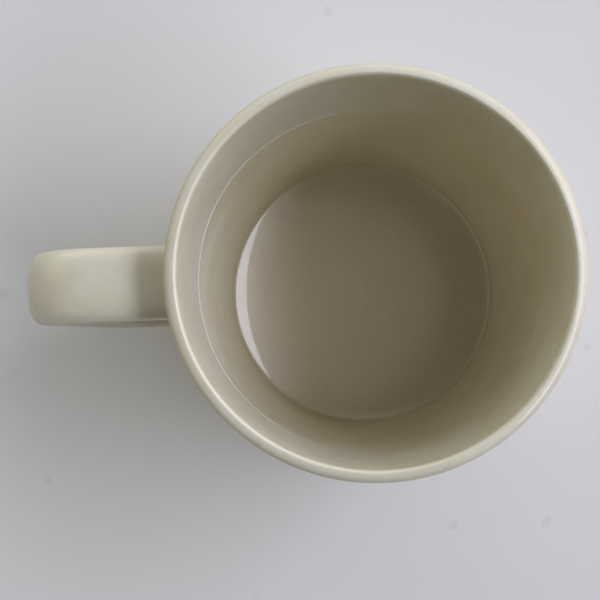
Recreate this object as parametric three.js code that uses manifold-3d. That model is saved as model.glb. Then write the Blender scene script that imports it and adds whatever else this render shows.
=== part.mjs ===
// A stoneware mug: a thrown cup of clay, a strap handle luted on with slip, and two coats of glaze.
// Millimetres, +Z up. The origin is on the table, under the middle of the whole footprint.
import * as THREE from 'three';
import { mergeVertices } from 'three/addons/utils/BufferGeometryUtils.js';
import Module from 'manifold-3d';

// Driving sizes of the finished mug, measured over the glaze.
const mugHeight = 95;
const rimDiameter = 88;
const heelDiameter = 83;
const lipThickness = 2.8;
const floorDiameter = 74.8;
const floorHeight = 8;
const floorFlatDiameter = 38;
const floorDishRadius = 45;
const floorFillet = 1.5;
const heelRound = 5;

// The foot ring is bare clay, turned on the wheel.
const footHeight = 2.2;
const footRingDiameter = 73;
const footRingWidth = 5;
const footEdgeChamfer = 0.8;
const recessDepth = 2.6;

// The strap handle, over the glaze.
const handleReach = 36.5;
const strapWidth = 16.6;
const strapThickness = 7.4;
const strapEdgeRound = 2.8;
const upperArmDrop = 12;
const lowerArmHeight = 21;
const upperBendRadius = 13;
const lowerBendRadius = 18;
const gripLean = THREE.MathUtils.degToRad(8);

// The slip that lutes each end of the strap to the wall, over the clay of the strap.
const slipReach = 3.5;
const slipSpread = 1.1;
const slipEdge = 0.5;

// The glaze. The outside coat runs over the lip and laps down the inside of the wall.
const glazeThickness = 0.45;
const lapDrop = 26;
const glazeLineAngle = THREE.MathUtils.degToRad(55);

// The clearance between one layer and the next.
const layerGap = 0.3;

// Points closer together than this are one corner of a solid.
const cornerTolerance = 1e-4;

const turnSegments = 60;
const arcSteps = 5;
const strapSteps = 36;

const coat = layerGap + glazeThickness;
const rimRadius = rimDiameter / 2;
const heelRadius = heelDiameter / 2;
const floorRadius = floorDiameter / 2;
const floorFlatRadius = floorFlatDiameter / 2;
const footRingRadius = footRingDiameter / 2;
const lipCentreHeight = mugHeight - lipThickness / 2;
const heelTopHeight = footHeight + heelRound;
const upperArmHeight = mugHeight - upperArmDrop - strapThickness / 2;
const quarterTurn = Math.PI / 2;

// The fillet touches the wall and the floor's dish, so its centre follows from their radii.
const filletCentreRadius = floorRadius - floorFillet;
const dishCentreHeight = floorHeight + floorDishRadius;
const dishSlope = Math.asin((filletCentreRadius - floorFlatRadius) / (floorDishRadius - floorFillet));
const filletTopHeight = dishCentreHeight - (floorDishRadius - floorFillet) * Math.cos(dishSlope);

const wasm = await Module();
wasm.setup();

// ---- outline helpers: every outline is a list of (radius, height) points ----

function at(radius, height) {
  return new THREE.Vector2(radius, height);
}

function arc(centre, radius, from, to, steps = arcSteps) {
  const points = [];
  for (let i = 0; i <= steps; i += 1) {
    const angle = from + (to - from) * i / steps;
    points.push(at(centre.x + radius * Math.cos(angle), centre.y + radius * Math.sin(angle)));
  }
  return points;
}

function outerRadiusAt(height) {
  const share = (height - heelTopHeight) / (lipCentreHeight - heelTopHeight);
  return heelRadius + (rimRadius - heelRadius) * share;
}

function innerRadiusAt(height) {
  const share = (height - filletTopHeight) / (lipCentreHeight - filletTopHeight);
  return floorRadius + (rimRadius - lipThickness - floorRadius) * share;
}

// The outlines below lie a given depth under the finished surface.

function heelArc(depth, fromAngle) {
  const centre = at(heelRadius - heelRound, heelTopHeight);
  return arc(centre, heelRound - depth, fromAngle, 0);
}

function lipArc(depth) {
  const centre = at(rimRadius - lipThickness / 2, lipCentreHeight);
  return arc(centre, lipThickness / 2 - depth, 0, Math.PI, 2 * arcSteps);
}

// The fillet at the foot of the wall, then the dish down to the flat middle of the floor.
function floorCurve(depth) {
  const filletCentre = at(filletCentreRadius, filletTopHeight);
  const dishCentre = at(floorFlatRadius, dishCentreHeight);
  const meeting = dishSlope - quarterTurn;
  return [
    ...arc(filletCentre, floorFillet + depth, 0, meeting).slice(0, -1),
    ...arc(dishCentre, floorDishRadius + depth, meeting, -quarterTurn),
  ];
}

// ---- solids ----

function lathe(outline) {
  const geometry = new THREE.LatheGeometry(outline, turnSegments);
  geometry.rotateX(quarterTurn);
  return geometry;
}

function solid(geometry) {
  geometry.deleteAttribute('normal');
  geometry.deleteAttribute('uv');
  const merged = mergeVertices(geometry, cornerTolerance);
  return new wasm.Manifold(new wasm.Mesh({
    numProp: 3,
    vertProperties: new Float32Array(merged.attributes.position.array),
    triVerts: new Uint32Array(merged.index.array),
  }));
}

function geometryOf(body) {
  const { numProp, vertProperties, triVerts } = body.getMesh();
  const geometry = new THREE.BufferGeometry();
  geometry.setAttribute('position', new THREE.BufferAttribute(vertProperties, numProp));
  geometry.setIndex(new THREE.BufferAttribute(triVerts, 1));
  return geometry.toNonIndexed();
}

function closedOutline(points) {
  return [...points, points[0].clone()];
}

// The cup: floor, wall and foot ring of one clay, turned and trimmed as one piece.
function cupBody() {
  const footInnerRadius = footRingRadius - footRingWidth;
  return solid(lathe([
    at(0, recessDepth),
    at(footInnerRadius, recessDepth),
    at(footInnerRadius, footEdgeChamfer),
    at(footInnerRadius + footEdgeChamfer, 0),
    at(footRingRadius - footEdgeChamfer, 0),
    at(footRingRadius, footEdgeChamfer),
    ...heelArc(coat, -quarterTurn),
    ...lipArc(coat),
    ...floorCurve(coat),
    at(0, floorHeight - coat),
  ]));
}

// The cup filled solid, with its outside moved out from the clay, to trim what is joined to the wall.
function filledCup(clearance) {
  const depth = coat - clearance;
  return solid(lathe([
    at(0, footHeight + depth),
    ...heelArc(depth, -quarterTurn),
    at(rimRadius - depth, lipCentreHeight),
    at(0, lipCentreHeight),
  ]));
}

// The glaze poured inside: over the floor, the fillet and the wall up to the lap line.
function insideCoat() {
  const top = mugHeight - lapDrop - layerGap;
  return solid(lathe([
    at(0, floorHeight - glazeThickness),
    ...floorCurve(glazeThickness).reverse(),
    at(innerRadiusAt(top) + glazeThickness, top),
    at(innerRadiusAt(top), top),
    ...floorCurve(0),
    at(0, floorHeight),
  ]));
}

// The dipped coat on the cup: up the outside, over the lip and down to the lap line inside.
function outsideCoat() {
  const lapHeight = mugHeight - lapDrop;
  const lapRadius = innerRadiusAt(lapHeight);
  return solid(lathe(closedOutline([
    ...heelArc(0, -glazeLineAngle),
    ...lipArc(0),
    at(lapRadius, lapHeight),
    at(lapRadius + glazeThickness, lapHeight),
    ...lipArc(glazeThickness).reverse(),
    ...heelArc(glazeThickness, -glazeLineAngle).reverse(),
  ])));
}

// ---- the handle ----

// The middle line of the strap: out from the wall, round a bend, down the grip, and back to the wall.
class StrapLine extends THREE.Curve {
  constructor() {
    super();
    const outermost = rimRadius + handleReach - strapThickness / 2;
    const gripAngle = Math.PI + gripLean;
    const upperCentre = at(upperBendRadius - outermost, upperArmHeight - upperBendRadius);
    const gripTop = at(Math.cos(gripAngle), Math.sin(gripAngle));
    gripTop.multiplyScalar(upperBendRadius).add(upperCentre);
    const lowerCentreHeight = lowerArmHeight + lowerBendRadius;
    const gripFall = gripTop.y - lowerCentreHeight - lowerBendRadius * Math.sin(gripAngle);
    const gripBottomX = gripTop.x + gripFall * Math.tan(gripLean);
    const lowerCentreX = gripBottomX - lowerBendRadius * Math.cos(gripAngle);
    this.flat = new THREE.Path();
    this.flat.moveTo(wallMiddleAt(upperArmHeight), upperArmHeight);
    this.flat.lineTo(upperCentre.x, upperArmHeight);
    this.flat.absarc(upperCentre.x, upperCentre.y, upperBendRadius, quarterTurn, gripAngle);
    this.flat.absarc(lowerCentreX, lowerCentreHeight, lowerBendRadius, gripAngle, 3 * quarterTurn);
    this.flat.lineTo(wallMiddleAt(lowerArmHeight), lowerArmHeight);
  }

  getPoint(t, target = new THREE.Vector3()) {
    const point = this.flat.getPoint(t);
    return target.set(point.x, 0, point.y);
  }

  // The strap lies flat across the grip: its width always runs along Y.
  computeFrenetFrames(segments) {
    const frames = { tangents: [], normals: [], binormals: [] };
    const across = new THREE.Vector3(0, -1, 0);
    for (let i = 0; i <= segments; i += 1) {
      const along = this.getTangentAt(i / segments);
      frames.tangents.push(along);
      frames.normals.push(across.clone().cross(along).normalize());
      frames.binormals.push(across);
    }
    return frames;
  }
}

function wallMiddleAt(height) {
  return -(outerRadiusAt(height) + innerRadiusAt(height)) / 2;
}

// A rectangle with round corners, thickness along X and width along Y, moved out from the strap's clay.
function strapSection(clearance) {
  const depth = coat - clearance;
  const halfThickness = strapThickness / 2 - depth;
  const halfWidth = strapWidth / 2 - depth;
  const round = strapEdgeRound - depth;
  const x = halfThickness - round;
  const y = halfWidth - round;
  const section = new THREE.Shape();
  section.absarc(x, y, round, 0, quarterTurn);
  section.absarc(-x, y, round, quarterTurn, Math.PI);
  section.absarc(-x, -y, round, Math.PI, 3 * quarterTurn);
  section.absarc(x, -y, round, 3 * quarterTurn, 4 * quarterTurn);
  return section;
}

function strap(clearance) {
  return solid(new THREE.ExtrudeGeometry(strapSection(clearance), {
    steps: strapSteps,
    curveSegments: 1,
    extrudePath: new StrapLine(),
  }));
}

// A collar round one end of the strap that widens towards the wall.
function slipCollar(height, clearance) {
  const start = -wallMiddleAt(height);
  const faceX = outerRadiusAt(height) - coat;
  const geometry = new THREE.ExtrudeGeometry(strapSection(layerGap + slipEdge + clearance), {
    depth: faceX - start,
    curveSegments: 1,
    bevelThickness: slipReach + clearance,
    bevelSize: slipSpread,
    bevelSegments: 1,
  });
  geometry.rotateY(-quarterTurn);
  geometry.translate(-start, 0, height);
  return solid(geometry);
}

const wallTrim = filledCup(layerGap);
const strapTrim = strap(layerGap);

const strapClay = strap(0).subtract(wallTrim);
const upperSlip = slipCollar(upperArmHeight, 0).subtract(strapTrim).subtract(wallTrim);
const lowerSlip = slipCollar(lowerArmHeight, 0).subtract(strapTrim).subtract(wallTrim);

// The coat on the handle joins the coat on the wall, and both are open where the clay passes through.
const handleCoat = strap(coat)
  .add(slipCollar(upperArmHeight, coat))
  .add(slipCollar(lowerArmHeight, coat))
  .subtract(filledCup(layerGap + glazeThickness / 2));
const handleHollow = strapTrim
  .add(slipCollar(upperArmHeight, layerGap))
  .add(slipCollar(lowerArmHeight, layerGap))
  .subtract(filledCup(0));
const outsideGlaze = outsideCoat().add(handleCoat).subtract(handleHollow);

// ---- materials ----

const rawClay = { color: 0xa58f74, roughness: 0.85, metalness: 0 };
const driedSlip = { color: 0xb29c80, roughness: 0.8, metalness: 0 };
const warmGlaze = { color: 0xb9ae97, roughness: 0.18, metalness: 0 };
const creamGlaze = { color: 0xd0cabb, roughness: 0.14, metalness: 0 };

function piece(name, body, finish) {
  const mesh = new THREE.Mesh(geometryOf(body), new THREE.MeshStandardMaterial(finish));
  mesh.name = name;
  return mesh;
}

// The handle reaches out past the cup on one side, so the cup stands off the middle by half of that.
const mug = new THREE.Group();
mug.position.x = handleReach / 2;
mug.add(piece('cup_body', cupBody(), rawClay));
mug.add(piece('strap_handle', strapClay, rawClay));
mug.add(piece('upper_handle_slip', upperSlip, driedSlip));
mug.add(piece('lower_handle_slip', lowerSlip, driedSlip));
mug.add(piece('inside_glaze', insideCoat(), warmGlaze));
mug.add(piece('outside_glaze', outsideGlaze, creamGlaze));

const group = new THREE.Group();
group.add(mug);

export default group;
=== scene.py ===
"""A cream stoneware mug, seen from above: clay cup, strap handle, luting slip and two coats of glaze."""
import math

import bpy
import numpy as np
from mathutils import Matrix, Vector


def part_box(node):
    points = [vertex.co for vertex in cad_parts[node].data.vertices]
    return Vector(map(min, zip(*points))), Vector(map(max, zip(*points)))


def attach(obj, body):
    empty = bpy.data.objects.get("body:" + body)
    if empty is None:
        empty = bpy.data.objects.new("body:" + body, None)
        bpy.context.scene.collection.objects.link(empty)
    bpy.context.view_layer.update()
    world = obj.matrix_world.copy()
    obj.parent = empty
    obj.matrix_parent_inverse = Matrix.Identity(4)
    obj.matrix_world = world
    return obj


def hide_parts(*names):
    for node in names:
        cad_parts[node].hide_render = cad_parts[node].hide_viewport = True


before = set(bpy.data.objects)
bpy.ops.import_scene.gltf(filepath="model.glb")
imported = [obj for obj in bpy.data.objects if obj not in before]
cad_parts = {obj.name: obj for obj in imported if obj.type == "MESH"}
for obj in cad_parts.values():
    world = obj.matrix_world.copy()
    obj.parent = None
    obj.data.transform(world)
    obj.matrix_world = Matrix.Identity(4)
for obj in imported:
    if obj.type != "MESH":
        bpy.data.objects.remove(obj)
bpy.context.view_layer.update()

# ---- The cup of clay --------------------------------------------------------------------------------
# Floor, wall and foot ring, thrown on the wheel as one piece of stoneware clay and trimmed when it was
# leather hard. The glaze hides it down to the heel, and the foot ring and the recess are bare.

MM = 0.001
cup_low, cup_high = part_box("cup_body")
coat_low, coat_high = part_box("outside_glaze")
pool_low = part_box("inside_glaze")[0]

AXIS_X = (cup_low[0] + cup_high[0]) / 2
MUG_HEIGHT = coat_high[2]
RIM_RADIUS = coat_high[0] - AXIS_X
HEEL_RADIUS = 41.5 * MM
LIP_THICKNESS = 2.8 * MM
LIP_INNER_ROUND = 0.65 * MM
LIP_RISE = 1.4 * MM
GLAZE = 0.45 * MM
FLOOR_HEIGHT = pool_low[2] + GLAZE
FLOOR_RADIUS = 37.4 * MM
FLOOR_FLAT_RADIUS = 19 * MM
FLOOR_DISH_RADIUS = 45 * MM
FLOOR_FILLET = 1.5 * MM
HEEL_ROUND = 5 * MM
FOOT_HEIGHT = 2.2 * MM
FOOT_RING_RADIUS = 36.5 * MM
FOOT_RING_WIDTH = 5 * MM
FOOT_EDGE_ROUND = 0.9 * MM
FOOT_FLAT_INSET = 1.4 * MM
RECESS_DEPTH = 2.6 * MM
RECESS_CORNER = 1.2 * MM
POLE_RADIUS = 0.8 * MM
RIM_SQUEEZE = 0.0038
RIM_DIP = 0.12 * MM
TURN_STEPS = 288
CORNER_ROWS = 16
DISH_ROWS = 40
FLAT_ROWS = 24
RECESS_ROWS = 60
EDGE_ROWS = 10
FOOT_ROWS = 6
WALL_ROWS = 60
ROUND_ROWS = 24
BARE_LIP_ROWS = 20

LIP_CENTRE_HEIGHT = MUG_HEIGHT - LIP_RISE
HEEL_TOP = FOOT_HEIGHT + HEEL_ROUND
FILLET_CENTRE_RADIUS = FLOOR_RADIUS - FLOOR_FILLET
DISH_CENTRE_HEIGHT = FLOOR_HEIGHT + FLOOR_DISH_RADIUS
DISH_SLOPE = math.asin((FILLET_CENTRE_RADIUS - FLOOR_FLAT_RADIUS) / (FLOOR_DISH_RADIUS - FLOOR_FILLET))
FILLET_TOP = DISH_CENTRE_HEIGHT - (FLOOR_DISH_RADIUS - FLOOR_FILLET) * math.cos(DISH_SLOPE)
turn = np.linspace(0, 2 * np.pi, TURN_STEPS, endpoint=False)[None, :]


def column(first, last, count):
    """Evenly spaced values from first to last, one to a row."""
    return np.linspace(first, last, count)[:, None]


def outer_radius(height):
    """The outside of the wall: a straight line from the heel's radius up to the rim's."""
    share = (height - HEEL_TOP) / (LIP_CENTRE_HEIGHT - HEEL_TOP)
    return HEEL_RADIUS + (RIM_RADIUS - HEEL_RADIUS) * share


def inner_radius(height):
    """The inside of the wall: a straight line from the floor's fillet up to the lip."""
    share = (height - FILLET_TOP) / (LIP_CENTRE_HEIGHT - FILLET_TOP)
    return FLOOR_RADIUS + (RIM_RADIUS - LIP_THICKNESS - FLOOR_RADIUS) * share


def bend(centre_radius, centre_height, radius, angles):
    """Points at angles round a centre: radius times cosine out, radius times sine up."""
    return centre_radius + radius * np.cos(angles), centre_height + radius * np.sin(angles)


def heel(depth, angles):
    """The round under the wall, depth below the finished surface."""
    return bend(HEEL_RADIUS - HEEL_ROUND, HEEL_TOP, HEEL_ROUND - depth, angles)


def lip(depth, angles):
    """The lip, depth below the finished surface: a long quarter of an ellipse from the outside up to the
    crest, and a short one down inside, where the rib has left a tighter edge."""
    outer_round = LIP_THICKNESS - LIP_INNER_ROUND
    across = np.where(np.cos(angles) > 0, outer_round, LIP_INNER_ROUND) - depth
    crest = RIM_RADIUS - outer_round
    return crest + across * np.cos(angles), LIP_CENTRE_HEIGHT + (LIP_RISE - depth) * np.sin(angles)


def floor_curve(depth):
    """From the wall to the middle, depth below the finished surface: a tight hollow fillet that touches
    the wall, then the arc of a wide dish that touches the fillet, then flat."""
    corner = column(0, DISH_SLOPE - np.pi / 2, CORNER_ROWS)[:-1]
    dish = column(DISH_SLOPE - np.pi / 2, -np.pi / 2, DISH_ROWS)
    flat = column(FLOOR_FLAT_RADIUS, POLE_RADIUS, FLAT_ROWS)[1:]
    return [
        bend(FILLET_CENTRE_RADIUS, FILLET_TOP, FLOOR_FILLET + depth, corner),
        bend(FLOOR_FLAT_RADIUS, DISH_CENTRE_HEIGHT, FLOOR_DISH_RADIUS + depth, dish),
        (flat, np.full_like(flat, FLOOR_HEIGHT - depth)),
    ]


def spin(stretches):
    """Stacks (radius, height) stretches row by row and carries each row round the cup's axis: out by the
    radius times the cosine and sine of the turn, up by the height. The rim is squeezed by (1 - cos 2a)
    times the height squared, and dips by (1 - cos(a - 1)) times the height cubed, as a rim does under
    the pull of a handle."""
    rounds = [np.broadcast_arrays(radius, height, turn) for radius, height in stretches]
    radius = np.vstack([stretch[0] for stretch in rounds])
    height = np.vstack([stretch[1] for stretch in rounds])
    level = height / MUG_HEIGHT
    radius = radius * (1 - RIM_SQUEEZE * (1 - np.cos(2 * turn)) * level ** 2)
    height = height - RIM_DIP * (1 - np.cos(turn - 1)) * level ** 3
    return np.stack([AXIS_X + radius * np.cos(turn), radius * np.sin(turn), height], axis=-1)


def skin(name, grid, ring=False, poles=()):
    """A closed surface through a grid of points that wraps round along its rows.
    ring joins the last row to the first, and poles closes the first and last row each to a point.
    The sum of each corner with the cross product of the next two is the volume's sign: if it is below
    nought the faces are turned round to point outwards."""
    rows, columns = grid.shape[:2]
    index = np.arange(rows * columns).reshape(rows, columns)
    lower = index if ring else index[:-1]
    upper = np.roll(index, -1, axis=0) if ring else index[1:]
    quads = np.stack([lower, np.roll(lower, -1, 1), np.roll(upper, -1, 1), upper], -1).reshape(-1, 4)
    points = grid.reshape(-1, 3)
    faces = quads.tolist()
    if len(poles):
        first, last = rows * columns, rows * columns + 1
        points = np.vstack([points, poles])
        start, end = index[0], index[-1]
        faces += np.stack([np.roll(start, -1), start, np.full(columns, first)], -1).tolist()
        faces += np.stack([end, np.roll(end, -1), np.full(columns, last)], -1).tolist()
    corners = points[quads]
    volume = np.sum(corners[:, 0] * np.cross(corners[:, 1], corners[:, 2]))
    volume += np.sum(corners[:, 0] * np.cross(corners[:, 2], corners[:, 3]))
    if volume < 0:
        faces = [face[::-1] for face in faces]
    mesh = bpy.data.meshes.new(name)
    mesh.from_pydata(points.tolist(), [], faces)
    mesh.shade_smooth()
    mesh.validate()
    piece = bpy.data.objects.new(name, mesh)
    bpy.context.scene.collection.objects.link(piece)
    return piece


class Wire:
    """A node's output. Adding to it, taking away or multiplying lays a Math node."""

    def __init__(self, recipe, socket):
        self.recipe = recipe
        self.socket = socket

    def math(self, operation, first, second):
        return self.recipe.node("ShaderNodeMath", {"operation": operation}, {0: first, 1: second}, "Value")

    def __add__(self, other):
        return self.math("ADD", self, other)

    def __sub__(self, other):
        return self.math("SUBTRACT", self, other)

    def __rsub__(self, other):
        return self.math("SUBTRACT", other, self)

    def __mul__(self, other):
        return self.math("MULTIPLY", self, other)

    __radd__ = __add__
    __rmul__ = __mul__


class Recipe:
    """A finish: a node tree whose Principled shader takes constants and wires by socket name."""

    def __init__(self, name, constants):
        self.material = bpy.data.materials.new(name)
        self.material.use_nodes = True
        self.tree = self.material.node_tree
        self.shader = self.tree.nodes["Principled BSDF"]
        for socket, value in constants.items():
            self.shader.inputs[socket].default_value = value
        self.place = self.node("ShaderNodeTexCoord", {}, {}, "Object")

    def node(self, kind, settings, inputs, output):
        """Lays one node: its settings first, then its sockets' values or wires."""
        node = self.tree.nodes.new(kind)
        for setting, value in settings.items():
            setattr(node, setting, value)
        for socket, value in inputs.items():
            if isinstance(value, Wire):
                self.tree.links.new(value.socket, node.inputs[socket])
            else:
                node.inputs[socket].default_value = value
        return Wire(self, node.outputs[output])

    def noise(self, size, detail=3.0, roughness=0.5):
        """Soft noise whose blotches are about size across."""
        inputs = {"Vector": self.place, "Scale": 1 / size, "Detail": detail, "Roughness": roughness}
        return self.node("ShaderNodeTexNoise", {}, inputs, "Fac")

    def band(self, value, low, high):
        """Nought below low, one above high, and a smooth rise between."""
        inputs = {"Value": value, "From Min": low, "From Max": high}
        return self.node("ShaderNodeMapRange", {"interpolation_type": "SMOOTHSTEP"}, inputs, "Result")

    def mix(self, factor, first, second):
        """Colour first where factor is nought, second where it is one."""
        inputs = {"Factor": factor, 6: first, 7: second}
        return self.node("ShaderNodeMix", {"data_type": "RGBA"}, inputs, 2)

    def specks(self, spacing, radius, share):
        """One where an iron speck lies: a ball of about radius in a share of the cells, spacing apart."""
        settings = {"feature": "F1"}
        inputs = {"Vector": self.place, "Scale": 1 / spacing}
        distance = self.node("ShaderNodeTexVoronoi", settings, inputs, "Distance")
        chance = self.node("ShaderNodeTexVoronoi", settings, inputs, "Color")
        lot = self.node("ShaderNodeSeparateColor", {}, {"Color": chance}, "Red")
        reach = radius / spacing
        near = 1 - self.band(distance, 0.6 * reach, reach)
        return near * self.band(lot, 1 - share, 1 - 0.9 * share)

    def attribute(self, name):
        """The number that a piece's points carry under a name."""
        return self.node("ShaderNodeAttribute", {"attribute_name": name}, {}, "Fac")

    def bump(self, height, depth):
        """Relief for the light to catch: a height from nought to one stands for depth in metres."""
        inputs = {"Height": height, "Distance": depth, "Strength": 1.0}
        return self.node("ShaderNodeBump", {}, inputs, "Normal")

    def feed(self, **wires):
        """Links wires to the shader's sockets, an underscore standing for a space, and hands the
        finished material over."""
        for socket, wire in wires.items():
            self.tree.links.new(wire.socket, self.shader.inputs[socket.replace("_", " ")])
        return self.material


CLAY_LIGHT = (0.52, 0.40, 0.28, 1)
CLAY_DARK = (0.38, 0.27, 0.17, 1)
CLAY_IRON = (0.05, 0.028, 0.016, 1)
CLAY_CLOUD = 9 * MM
GROG = 0.7 * MM
GROG_RELIEF = 0.09 * MM
CLAY_SPECKS = (2.2 * MM, 0.28 * MM, 0.5)
RECESS_RINGS = 0.05 * MM
RECESS_RING_PITCH = 2.4 * MM


def raw_clay(name, light, dark):
    """Fired stoneware clay: grog and iron specks in a matt, faintly turned body."""
    recipe = Recipe(name, {"Specular IOR Level": 0.3})
    cloud = recipe.noise(CLAY_CLOUD)
    grog = recipe.noise(GROG, 4.0, 0.65)
    iron = recipe.specks(*CLAY_SPECKS)
    body = recipe.mix(recipe.band(0.5 * cloud + 0.5 * grog, 0.38, 0.62), dark, light)
    colour = recipe.mix(iron * 0.8, body, CLAY_IRON)
    roughness = 0.72 + 0.2 * grog
    relief = recipe.bump(grog - 0.4 * iron, GROG_RELIEF)
    return recipe.feed(Base_Color=colour, Roughness=roughness, Normal=relief)


foot_inner = FOOT_RING_RADIUS - FOOT_RING_WIDTH
recess_edge = foot_inner - RECESS_CORNER
foot_inner_centre = foot_inner + FOOT_EDGE_ROUND
foot_outer_centre = FOOT_RING_RADIUS - FOOT_EDGE_ROUND
foot_flat = column(foot_inner + FOOT_FLAT_INSET, FOOT_RING_RADIUS - FOOT_FLAT_INSET, FOOT_ROWS)
recess_radius = column(POLE_RADIUS, recess_edge, RECESS_ROWS)
trimming = RECESS_RINGS * np.sin(2 * np.pi * recess_radius / RECESS_RING_PITCH)
wall_rows = column(HEEL_TOP, LIP_CENTRE_HEIGHT, WALL_ROWS)[1:-1]
bore_rows = column(LIP_CENTRE_HEIGHT, FILLET_TOP, WALL_ROWS)[1:-1]
cup_rows = [
    (recess_radius, RECESS_DEPTH + trimming),
    bend(recess_edge, RECESS_DEPTH - RECESS_CORNER, RECESS_CORNER, column(np.pi / 2, 0, EDGE_ROWS)),
    bend(foot_inner_centre, FOOT_EDGE_ROUND, FOOT_EDGE_ROUND, column(np.pi, 1.5 * np.pi, EDGE_ROWS)),
    (foot_flat, np.zeros_like(foot_flat)),
    bend(foot_outer_centre, FOOT_EDGE_ROUND, FOOT_EDGE_ROUND, column(-np.pi / 2, 0, EDGE_ROWS)),
    heel(GLAZE, column(-np.pi / 2, 0, ROUND_ROWS)),
    (outer_radius(wall_rows) - GLAZE, wall_rows),
    lip(GLAZE, column(0, np.pi, BARE_LIP_ROWS)),
    (inner_radius(bore_rows) + GLAZE, bore_rows),
    *floor_curve(GLAZE),
]
poles = [(AXIS_X, 0, RECESS_DEPTH), (AXIS_X, 0, FLOOR_HEIGHT - GLAZE)]
cup = skin("clay_cup", spin(cup_rows), poles=poles)
clay = raw_clay("raw_stoneware", CLAY_LIGHT, CLAY_DARK)
cup.data.materials.append(clay)
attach(cup, "root")
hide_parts("cup_body")

# ---- The strap handle -------------------------------------------------------------------------------
# A flat strap pulled from the same clay, level where it leaves the wall, bent down in a wide round and
# brought back to the wall low down. Its ends are cut to the curve of the cup and scored to take slip.

STRAP_WIDTH = 16.6 * MM
STRAP_THICKNESS = 7.4 * MM
UPPER_ARM_DROP = 12 * MM
LOWER_ARM_HEIGHT = 21 * MM
UPPER_BEND = 13 * MM
LOWER_BEND = 18 * MM
GRIP_LEAN = math.radians(8)
SECTION_POWER = 3.4
GRIP_POWER = 2.35
SECTION_STEPS = 96
FLARE = 2.8 * MM
BARE_FLARE = 1.0 * MM
ROOT = 4 * MM
ARM_RUN = 16 * MM
SETTLE = 9 * MM
FLARE_ROWS = 14
RING_PITCH = 0.8 * MM
LINE_STEP = 0.1 * MM
ARC_STEPS = 200
LINE_SOFTNESS = 1.5 * MM


def strap_line():
    """The strap's middle line in the plane of the handle, as (x, z) points LINE_STEP apart.
    Straight out, an arc down, a leaning grip, an arc back and straight in, then softened by a
    bell-shaped average so that no bend begins abruptly."""
    upper_height = MUG_HEIGHT - UPPER_ARM_DROP - STRAP_THICKNESS / 2
    outermost = AXIS_X - coat_low[0] - STRAP_THICKNESS / 2
    grip_angle = np.pi + GRIP_LEAN
    upper_centre = np.array([UPPER_BEND - outermost, upper_height - UPPER_BEND])
    grip_turn = np.array([np.cos(grip_angle), np.sin(grip_angle)])
    grip_top = upper_centre + UPPER_BEND * grip_turn
    lower_height = LOWER_ARM_HEIGHT + LOWER_BEND
    fall = grip_top[1] - lower_height - LOWER_BEND * grip_turn[1]
    lower_x = grip_top[0] + fall * np.tan(GRIP_LEAN) - LOWER_BEND * grip_turn[0]

    def arc(centre, radius, first, last):
        angles = np.linspace(first, last, ARC_STEPS)
        return np.stack([centre[0] + radius * np.cos(angles), centre[1] + radius * np.sin(angles)], 1)

    corners = np.vstack([
        [[-RIM_RADIUS + ROOT, upper_height]],
        arc(upper_centre, UPPER_BEND, np.pi / 2, grip_angle),
        arc((lower_x, lower_height), LOWER_BEND, grip_angle, 1.5 * np.pi),
        [[-HEEL_RADIUS + ROOT, LOWER_ARM_HEIGHT]],
    ])
    run = np.concatenate([[0], np.cumsum(np.hypot(*np.diff(corners, axis=0).T))])
    even = np.arange(0, run[-1], LINE_STEP)
    line = np.stack([np.interp(even, run, corners[:, i]) for i in (0, 1)], 1)
    reach = int(3 * LINE_SOFTNESS / LINE_STEP)
    bell = np.exp(-0.5 * (np.arange(-reach, reach + 1) * LINE_STEP / LINE_SOFTNESS) ** 2)
    bell /= bell.sum()
    long_line = np.pad(line, ((reach, reach), (0, 0)), "reflect", reflect_type="odd")
    return np.stack([np.convolve(long_line[:, i], bell, "valid") for i in (0, 1)], 1)


strap_path = strap_line()
strap_run = np.concatenate([[0], np.cumsum(np.hypot(*np.diff(strap_path, axis=0).T))])
strap_slope = np.gradient(strap_path, strap_run, axis=0)
strap_slope /= np.linalg.norm(strap_slope, axis=1)[:, None]


def cup_face(y, height, depth):
    """How far out the wall's outside stands at a place across it and up it, depth below the surface."""
    return np.sqrt((outer_radius(height) - depth) ** 2 - y ** 2)


def strap_ring(run, depth, swell=0.0):
    """Rings of the strap at distances run along its line: a superellipse of half thickness and half
    width, both less depth and plus swell, square to the line and wide across Y. It is squarer on the
    arms and rounder on the grip, by a smooth step over ARM_RUN."""
    phi = np.linspace(0, 2 * np.pi, SECTION_STEPS, endpoint=False)[None, :]
    upper_end = np.clip((run - ARM_RUN) / ARM_RUN, 0, 1)
    lower_end = np.clip((strap_run[-1] - run - ARM_RUN) / ARM_RUN, 0, 1)
    bent = upper_end * lower_end
    power = 2 / (SECTION_POWER + (GRIP_POWER - SECTION_POWER) * bent ** 2 * (3 - 2 * bent))
    thick = np.sign(np.cos(phi)) * np.abs(np.cos(phi)) ** power * (STRAP_THICKNESS / 2 - depth + swell)
    wide = np.sign(np.sin(phi)) * np.abs(np.sin(phi)) ** power * (STRAP_WIDTH / 2 - depth + swell)
    x, z = (np.interp(run, strap_run, strap_path[:, i]) for i in (0, 1))
    along_x, along_z = (np.interp(run, strap_run, strap_slope[:, i]) for i in (0, 1))
    return np.stack([x - along_z * thick, np.broadcast_to(wide, thick.shape), z + along_x * thick], -1)


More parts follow.
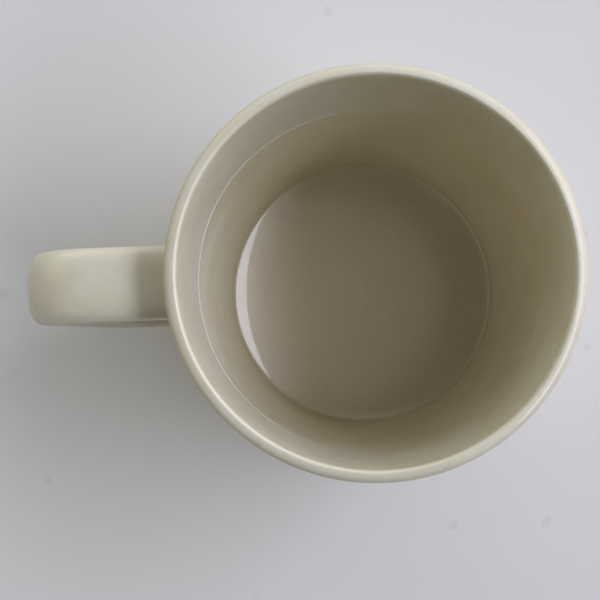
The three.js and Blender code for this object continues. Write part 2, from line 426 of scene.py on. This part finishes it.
def strap_rings(depth, wall_depth, flare):
    """The strap's surface from wall to wall. Within SETTLE of the wall each ring is drawn on to the
    wall's curve, and within flare of it the ring swells along a quarter circle, as smoothed slip does."""
    length = strap_run[-1]
    start, end = ROOT, length - ROOT
    quarter = column(0, np.pi / 2, FLARE_ROWS)
    near = flare * (1 - np.sin(quarter[::-1]))
    swell_near = flare * (1 - np.cos(quarter[::-1]))
    middle = column(flare, end - start - flare, int((end - start - 2 * flare) / RING_PITCH))[1:-1]
    away = np.vstack([near, middle, end - start - near[::-1]])
    swell = np.vstack([swell_near, np.zeros_like(middle), swell_near[::-1]])
    rings = strap_ring(start + away, depth, swell)
    gap = np.minimum(away, end - start - away)
    drawn = np.clip(1 - gap / SETTLE, 0, 1) ** 2 * (1 + 2 * np.clip(gap / SETTLE, 0, 1))
    face = -cup_face(rings[..., 1], rings[..., 2], wall_depth) - gap
    rings[..., 0] += drawn * (face - rings[..., 0])
    rings[..., 0] += AXIS_X
    return rings


clay_rings = strap_rings(GLAZE, GLAZE, BARE_FLARE)
strap = skin("clay_strap", clay_rings, poles=[clay_rings[0].mean(0), clay_rings[-1].mean(0)])
strap.data.materials.append(clay)
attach(strap, "root")
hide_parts("strap_handle")

# ---- The luting slip --------------------------------------------------------------------------------
# Two collars of wet slip, one at each end of the strap, pressed into the scored joint and wiped to a
# hollow round with a finger or a wet brush. Fired, they are the same clay in a finer grain.

SLIP_LIGHT = (0.56, 0.44, 0.31, 1)
SLIP_DARK = (0.43, 0.32, 0.21, 1)
SLIP_ROWS = 13
BARE_ROWS = 3

slip_clay = raw_clay("luting_slip", SLIP_LIGHT, SLIP_DARK)


def slip_collar(name, node, rings):
    """A closed ring of slip: its outside is the flared strap's, its inside the bare strap's."""
    collar = skin(name, rings, ring=True)
    collar.data.materials.append(slip_clay)
    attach(collar, "root")
    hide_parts(node)


flared = strap_rings(GLAZE, GLAZE, FLARE)
upper_collar = np.vstack([flared[:SLIP_ROWS], clay_rings[:BARE_ROWS][::-1]])
lower_collar = np.vstack([flared[-SLIP_ROWS:], clay_rings[-BARE_ROWS:][::-1]])
slip_collar("upper_slip", "upper_handle_slip", upper_collar)
slip_collar("lower_slip", "lower_handle_slip", lower_collar)

# ---- The inside glaze -------------------------------------------------------------------------------
# A thin ivory coat, poured in and out again: it covers the floor, the corner and the wall up to where
# the second coat laps over it. The clay shows through it warmly, and the potter's rings under it too.

INSIDE_IVORY = (0.71, 0.65, 0.475, 1)
INSIDE_WARM = (0.675, 0.595, 0.405, 1)
POOLED_GLAZE = (0.57, 0.475, 0.33, 1)
GLAZE_IRON = (0.12, 0.075, 0.04, 1)
GLAZE_CLOUD = 14 * MM
GLAZE_CURDLE = 1.6 * MM
GLAZE_RIPPLE = 7 * MM
RIPPLE_RELIEF = 0.16 * MM
FINE_SPECKS = (0.9 * MM, 0.12 * MM, 0.36)
LARGE_SPECKS = (8.5 * MM, 0.24 * MM, 0.35)
INSIDE_INDEX = 1.8
INSIDE_GLOSS = 0.3
POOL_TOP = 2 * MM
POOL_FADE = 4 * MM
LAP_DROP = 26.6 * MM
LAP_TILT = 0.7 * MM
LAP_TILT_TOWARDS = math.radians(262)
LAP_WAVE = 0.5 * MM
THROWING_RING = 0.006 * MM
POURED_DROP = 0.05 * MM
HIDDEN_STEP = 4
POURED_ROWS = 109

lap_height = (
    MUG_HEIGHT - LAP_DROP + LAP_TILT * np.cos(turn - LAP_TILT_TOWARDS)
    + LAP_WAVE * np.sin(3 * turn + 0.7) + 0.4 * LAP_WAVE * np.sin(7 * turn + 2.0)
)


def glaze(name, index, gloss, cream, warm, marked, breaks_to):
    """A glossy stoneware glaze: cloudy between cream and warm, with iron specks in it and a surface that
    is never quite flat. It turns to breaks_to by the amount that the piece's points carry under marked.
    On the outside coat that amount is how thin it lies, partly painted shade as well on the lip's outer
    edge and the handle's bend, and there it makes the glaze more matt too."""
    recipe = Recipe(name, {"IOR": index, "Coat Roughness": 0.03, "Coat IOR": 1.5})
    cloud = recipe.noise(GLAZE_CLOUD, 2.0)
    curdle = recipe.noise(GLAZE_CURDLE, 4.0, 0.6)
    body = recipe.mix(recipe.band(0.7 * cloud + 0.3 * curdle, 0.36, 0.66) * 0.6, cream, warm)
    amount = recipe.attribute(marked)
    body = recipe.mix(amount * (0.5 + 0.5 * curdle), body, breaks_to)
    roughness = gloss + 0.16 * curdle
    coat = 0.42 + 0.3 * cloud
    if marked == "thin_and_shaded":
        roughness = roughness + 0.15 * amount
        coat = coat * (1 - 0.5 * amount)
    iron = recipe.specks(*FINE_SPECKS) * 0.55 + recipe.specks(*LARGE_SPECKS) * 0.8
    colour = recipe.mix(recipe.band(iron, 0.0, 1.0) * 0.85, body, GLAZE_IRON)
    ripple = recipe.noise(GLAZE_RIPPLE, 2.0)
    relief = recipe.bump(0.9 * ripple + 0.1 * curdle, RIPPLE_RELIEF)
    return recipe.feed(Base_Color=colour, Roughness=roughness, Coat_Weight=coat, Normal=relief)


def mark(piece, name, amount):
    """Writes an amount, from nought to one at each point of the grid, for the glaze's colour to read."""
    values = np.zeros(len(piece.data.vertices), dtype=np.float32)
    values[:amount.size] = amount.ravel()
    piece.data.attributes.new(name, "FLOAT", "POINT").data.foreach_set("value", values)


def throwing_rings(height):
    """The faint rings of the potter's fingers: three sines of the height, a few millimetres apart."""
    wave = np.sin(height / (1.9 * MM)) + 0.7 * np.sin(height / (1.13 * MM) + 1.0)
    return THROWING_RING * (wave + 0.5 * np.sin(height / (0.61 * MM) + turn))


climb = column(0, 1, POURED_ROWS)
poured_height = FILLET_TOP + (lap_height - FILLET_TOP) * climb
against_clay = poured_height[::HIDDEN_STEP]  # never seen, so one row in a few is enough
settled = POURED_DROP * climb
ringed = throwing_rings(poured_height) * np.sin(np.pi * climb) ** 0.5
inside_rows = [
    *[(radius[::-1], height[::-1]) for radius, height in floor_curve(GLAZE)[::-1]],
    (inner_radius(against_clay) + GLAZE, against_clay),
    (inner_radius(poured_height[::-1]) + settled[::-1] + ringed[::-1], poured_height[::-1]),
    *floor_curve(0.0),
]
poles = [(AXIS_X, 0, FLOOR_HEIGHT - GLAZE), (AXIS_X, 0, FLOOR_HEIGHT)]
inside_points = spin(inside_rows)
inside = skin("inside_glaze_coat", inside_points, poles=poles)
# The glaze has pooled brown on the floor, up to a little over the corner.
mark(inside, "pooled", np.clip((FILLET_TOP + POOL_TOP - inside_points[..., 2]) / POOL_FADE, 0, 1))
poured = glaze(
    "inside_glaze", INSIDE_INDEX, INSIDE_GLOSS, INSIDE_IVORY, INSIDE_WARM, "pooled", POOLED_GLAZE,
)
inside.data.materials.append(poured)
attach(inside, "root")
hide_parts("inside_glaze")

# ---- The outside glaze ------------------------------------------------------------------------------
# The cream coat that the mug was dipped in mouth first: it covers the outside, the handle and the lip
# and ends in a soft bead inside. It stops at a wiped line on the heel, and breaks warm on the edges; on
# the lip's outer edge that warm darker tint is partly thin glaze and partly painted shade.

BEAD = 0.17 * MM
BEAD_WIDTH = 0.18 * MM
BEAD_RISE = 0.35 * MM
BEAD_TOWARDS = math.radians(172)
GLAZE_LINE = math.radians(-55)
GLAZE_LINE_WAVE = math.radians(3)
LAP_FINE = 0.06
LAP_ROWS = 40
LAP_FINE_ROWS = 30
HEEL_ROWS = 20
COAT_WALL_ROWS = 120
COAT_LIP_ROWS = 40
ROLL_ROWS = 9
OUTSIDE_CREAM = (0.70, 0.67, 0.55, 1)
OUTSIDE_WARM = (0.65, 0.595, 0.43, 1)
# The warm darker tint where the glaze lies thin; on the lip's outer edge and the handle's bend it is
# partly painted shade.
THIN_AND_SHADED_GLAZE = (0.50, 0.43, 0.29, 1)
OUTSIDE_INDEX = 1.5
OUTSIDE_GLOSS = 0.34
LIP_THIN_AND_SHADE_REACH = 1.0 * MM
THIN_AT_LINE = 1.2 * MM
LIP_THIN_AND_SHADE_SHARE = 0.8

line_angle = GLAZE_LINE + GLAZE_LINE_WAVE * (np.sin(2 * turn + 1) + 0.4 * np.sin(9 * turn))
above_lap = np.vstack([column(1, LAP_FINE, LAP_ROWS), column(LAP_FINE, 0, LAP_FINE_ROWS)[1:]])
band_height = lap_height + (LIP_CENTRE_HEIGHT - lap_height) * above_lap
fullness = 0.1 + 0.9 * np.clip(np.cos(turn - BEAD_TOWARDS), 0, 1)
bead = fullness * BEAD * np.exp(-((band_height - lap_height - BEAD_RISE) / BEAD_WIDTH) ** 2)
heel_share = column(0, 1, HEEL_ROWS)
outside_wall = column(HEEL_TOP, LIP_CENTRE_HEIGHT, COAT_WALL_ROWS)[1:-1]
hidden_band, hidden_wall = band_height[::-HIDDEN_STEP], outside_wall[::-HIDDEN_STEP]
roll = column(0, np.pi, ROLL_ROWS)[1:-1]
roll_angle = line_angle - GLAZE / 2 / HEEL_ROUND * np.sin(roll)
outside_rows = [
    heel(0.0, line_angle * (1 - heel_share)),
    (outer_radius(outside_wall), outside_wall),
    lip(0.0, column(0, np.pi, COAT_LIP_ROWS)),
    (inner_radius(band_height[1:]) - bead[1:], band_height[1:]),
    (inner_radius(hidden_band) + GLAZE, hidden_band),
    lip(GLAZE, column(np.pi, 0, ROUND_ROWS)[1:]),
    (outer_radius(hidden_wall) - GLAZE, hidden_wall),
    heel(GLAZE, line_angle * heel_share),
    heel(GLAZE / 2 * (1 + np.cos(roll)), roll_angle),
]
outside_points = spin(outside_rows)
outside = skin("outside_glaze_coat", outside_points, ring=True)

# A warm darker tint as a bell shape of the distance from the lip's outer edge, partly thin glaze and
# partly painted shade there, and of the height over its line, where the glaze thins.
outside_height = outside_points[..., 2]
outside_reach = np.hypot(outside_points[..., 0] - AXIS_X, outside_points[..., 1])
lip_edge = np.hypot(outside_reach - RIM_RADIUS, outside_height - LIP_CENTRE_HEIGHT - LIP_THICKNESS / 4)
line_height = HEEL_TOP + HEEL_ROUND * np.sin(line_angle)
near_line = (outside_height - line_height) / THIN_AT_LINE
lip_thin_and_shade = LIP_THIN_AND_SHADE_SHARE * np.exp(-(lip_edge / LIP_THIN_AND_SHADE_REACH) ** 2)
mark(outside, "thin_and_shaded", lip_thin_and_shade + np.exp(-near_line ** 2))
dipped = glaze(
    "outside_glaze", OUTSIDE_INDEX, OUTSIDE_GLOSS, OUTSIDE_CREAM, OUTSIDE_WARM, "thin_and_shaded", THIN_AND_SHADED_GLAZE,
)
outside.data.materials.append(dipped)
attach(outside, "root")
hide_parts("outside_glaze")

# ---- The glaze on the handle ------------------------------------------------------------------------
# The same dipped coat where it runs on over the slip and round the strap. It is thinner over the edges
# and the bend, where the clay warms it, and full in the hollows at the wall. The warm darker tint over the
# outside of the upper bend, which faces away from the light, is partly that thin glaze and partly painted
# shade.

THIN_AT_EDGE = 0.9 * MM
BEND_THIN_AND_SHADE_REACH = 5 * MM
THIN_EDGE_SHARE = 0.45
BEND_THIN_AND_SHADE_SHARE = 0.6
HANDLE_COAT_DEPTH = 0.04 * MM

outer_rings = strap_rings(0.0, HANDLE_COAT_DEPTH, FLARE)
inner_rings = strap_rings(GLAZE, HANDLE_COAT_DEPTH, BARE_FLARE)
handle_points = np.vstack([outer_rings, inner_rings[::-1]])
handle_coat = skin("handle_glaze_coat", handle_points, ring=True)
handle_coat.data.materials.append(dipped)

# It thins along the strap's two edges; over the outside of the upper bend its warm darker tint is partly
# thin glaze and partly painted shade.
strap_edge = (np.abs(handle_points[..., 1]) - STRAP_WIDTH / 2) / THIN_AT_EDGE
bend_x = handle_points[..., 0] - coat_low[0]
bend_z = handle_points[..., 2] - (MUG_HEIGHT - UPPER_ARM_DROP - UPPER_BEND / 2)
bend_thin_and_shade = np.exp(-(bend_x / BEND_THIN_AND_SHADE_REACH) ** 2 - (bend_z / (2 * BEND_THIN_AND_SHADE_REACH)) ** 2)
mark(handle_coat, "thin_and_shaded", THIN_EDGE_SHARE * np.exp(-strap_edge ** 2) + BEND_THIN_AND_SHADE_SHARE * bend_thin_and_shade)
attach(handle_coat, "root")
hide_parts("outside_glaze")

# ---- The table, the light and the camera ------------------------------------------------------------
# A plain pale table with a few faint marks, in soft daylight from one side. None of it belongs to the
# mug. The lights are panels far off, and the camera looks down into the cup.

TABLE_RADIUS = 5.0
TABLE_LIGHT = (0.72, 0.715, 0.70, 1)
TABLE_DARK = (0.68, 0.675, 0.66, 1)
TABLE_MARK = (0.30, 0.30, 0.30, 1)
TABLE_CLOUD = 60 * MM
TABLE_MARK_SHARE = 0.14
TABLE_RIM_STEPS = 96
TABLE_SPOTS = (15 * MM, 1.8 * MM, 0.35)
LIGHT_DISTANCE = 3.0
LIGHT_FOOT = 0.06

table_rim = np.linspace(0, 2 * np.pi, TABLE_RIM_STEPS, endpoint=False)
table_points = TABLE_RADIUS * np.stack([np.cos(table_rim), np.sin(table_rim), 0 * table_rim], 1)
table_mesh = bpy.data.meshes.new("table")
table_mesh.from_pydata(table_points.tolist(), [], [list(range(len(table_rim)))])
table = bpy.data.objects.new("table", table_mesh)
bpy.context.scene.collection.objects.link(table)
table_finish = Recipe("table_top", {"Roughness": 0.5})
smudge = table_finish.noise(TABLE_CLOUD, 3.0)
spots = table_finish.specks(*TABLE_SPOTS)
paint = table_finish.mix(smudge, TABLE_DARK, TABLE_LIGHT)
table_colour = table_finish.mix(spots * TABLE_MARK_SHARE, paint, TABLE_MARK)
table.data.materials.append(table_finish.feed(Base_Color=table_colour))


def soft_box(name, wall, left, right, low, high, glow, colour):
    """A glowing panel upright on a wall LIGHT_DISTANCE off, whose azimuth is given. It fills the view
    from the mug between two angles across and two elevations; its width and height are their tangents."""
    across = np.tan(np.radians([left, right])) * LIGHT_DISTANCE
    up = np.tan(np.radians([low, high])) * LIGHT_DISTANCE
    lamp = bpy.data.lights.new(name, "AREA")
    lamp.shape = "RECTANGLE"
    lamp.size, lamp.size_y = np.ptp(across), np.ptp(up)
    lamp.energy = math.pi * glow * lamp.size * lamp.size_y
    lamp.color = colour
    holder = bpy.data.objects.new(name, lamp)
    facing, middle = math.radians(wall), across.mean()
    out = np.array([math.cos(facing), math.sin(facing)])
    side = np.array([-math.sin(facing), math.cos(facing)])
    spot = out * LIGHT_DISTANCE + side * middle
    holder.location = (AXIS_X + spot[0], spot[1], LIGHT_FOOT + up.mean())
    holder.rotation_euler = (math.pi / 2, 0, math.pi / 2 + facing)
    holder.visible_camera = False
    bpy.context.scene.collection.objects.link(holder)


soft_box("window_head", 0, -43, 43, 48.5, 57, 8.6, (0.84, 0.87, 1.0))
soft_box("window_brow", 0, -43, 43, 42, 48.5, 5.2, (0.84, 0.87, 1.0))
soft_box("window", 0, -12, 45, 18, 42, 2.4, (0.66, 0.70, 1.0))
soft_box("window_foot", 0, -12, 45, 2, 18, 3.2, (1.0, 0.86, 0.62))
soft_box("side_window", 90, -45, 0, 2, 30, 1.6, (0.85, 0.90, 1.0))
soft_box("side_wall", 90, 0, 45, 2, 30, 1.45, (1.0, 0.92, 0.90))
soft_box("side_head", 90, -45, 45, 36, 52, 0.8, (0.85, 0.88, 1.0))
soft_box("back_wall", 180, -62, -8, 2, 45, 0.9, (1.0, 1.0, 0.72))
soft_box("small_lamp", 180, 38, 48, 52, 58, 3.5, (1.0, 1.0, 0.9))
soft_box("lamp", 180, 12, 40, 14, 50, 0.6, (1.0, 0.85, 0.5))


class Sky(Recipe):
    """The room's own light: a recipe whose tree is the world's."""

    def __init__(self, name):
        self.world = bpy.data.worlds.new(name)
        self.world.use_nodes = True
        self.tree = self.world.node_tree
        self.shader = self.tree.nodes["Background"]
        self.place = self.node("ShaderNodeTexCoord", {}, {}, "Generated")


SKY_AZIMUTH = math.radians(18)
SKY_ELEVATION = math.radians(66)
SKY_GLOW = 0.54
HORIZON_GLOW = 0.34
ROOM_GLOW = 0.02
SKY_SPREAD = (0.8, 1.0)
HORIZON_SPREAD = (0.06, 0.24)
LENS = 58.8
SENSOR = 36
CAMERA_PLACE = (AXIS_X - 10.1 * MM, -15.2 * MM, 296.7 * MM)
CAMERA_TURN = (0.04695, 0.02872, -0.03057)

room = Sky("room")
brightest = (
    math.cos(SKY_ELEVATION) * math.cos(SKY_AZIMUTH),
    math.cos(SKY_ELEVATION) * math.sin(SKY_AZIMUTH),
    math.sin(SKY_ELEVATION),
)
dot = {"operation": "DOT_PRODUCT"}
facing_sky = room.node("ShaderNodeVectorMath", dot, {0: room.place, 1: brightest}, "Value")
height_up = room.node("ShaderNodeSeparateXYZ", {}, {"Vector": room.place}, "Z")
overhead = SKY_GLOW * room.band(facing_sky, *SKY_SPREAD)
low_down = HORIZON_GLOW * (1 - room.band(height_up, *HORIZON_SPREAD))
glow = overhead + low_down + ROOM_GLOW
room.shader.inputs["Color"].default_value = (1.0, 1.0, 1.0, 1)
room.tree.links.new(glow.socket, room.shader.inputs["Strength"])
bpy.context.scene.world = room.world
bpy.context.scene.view_settings.view_transform = "Standard"

camera_lens = bpy.data.cameras.new("camera")
camera_lens.sensor_width = SENSOR
camera_lens.lens = LENS
camera_lens.clip_start = 0.01
camera = bpy.data.objects.new("camera", camera_lens)
camera.location = CAMERA_PLACE
camera.rotation_euler = CAMERA_TURN
bpy.context.scene.collection.objects.link(camera)
bpy.context.scene.camera = camera
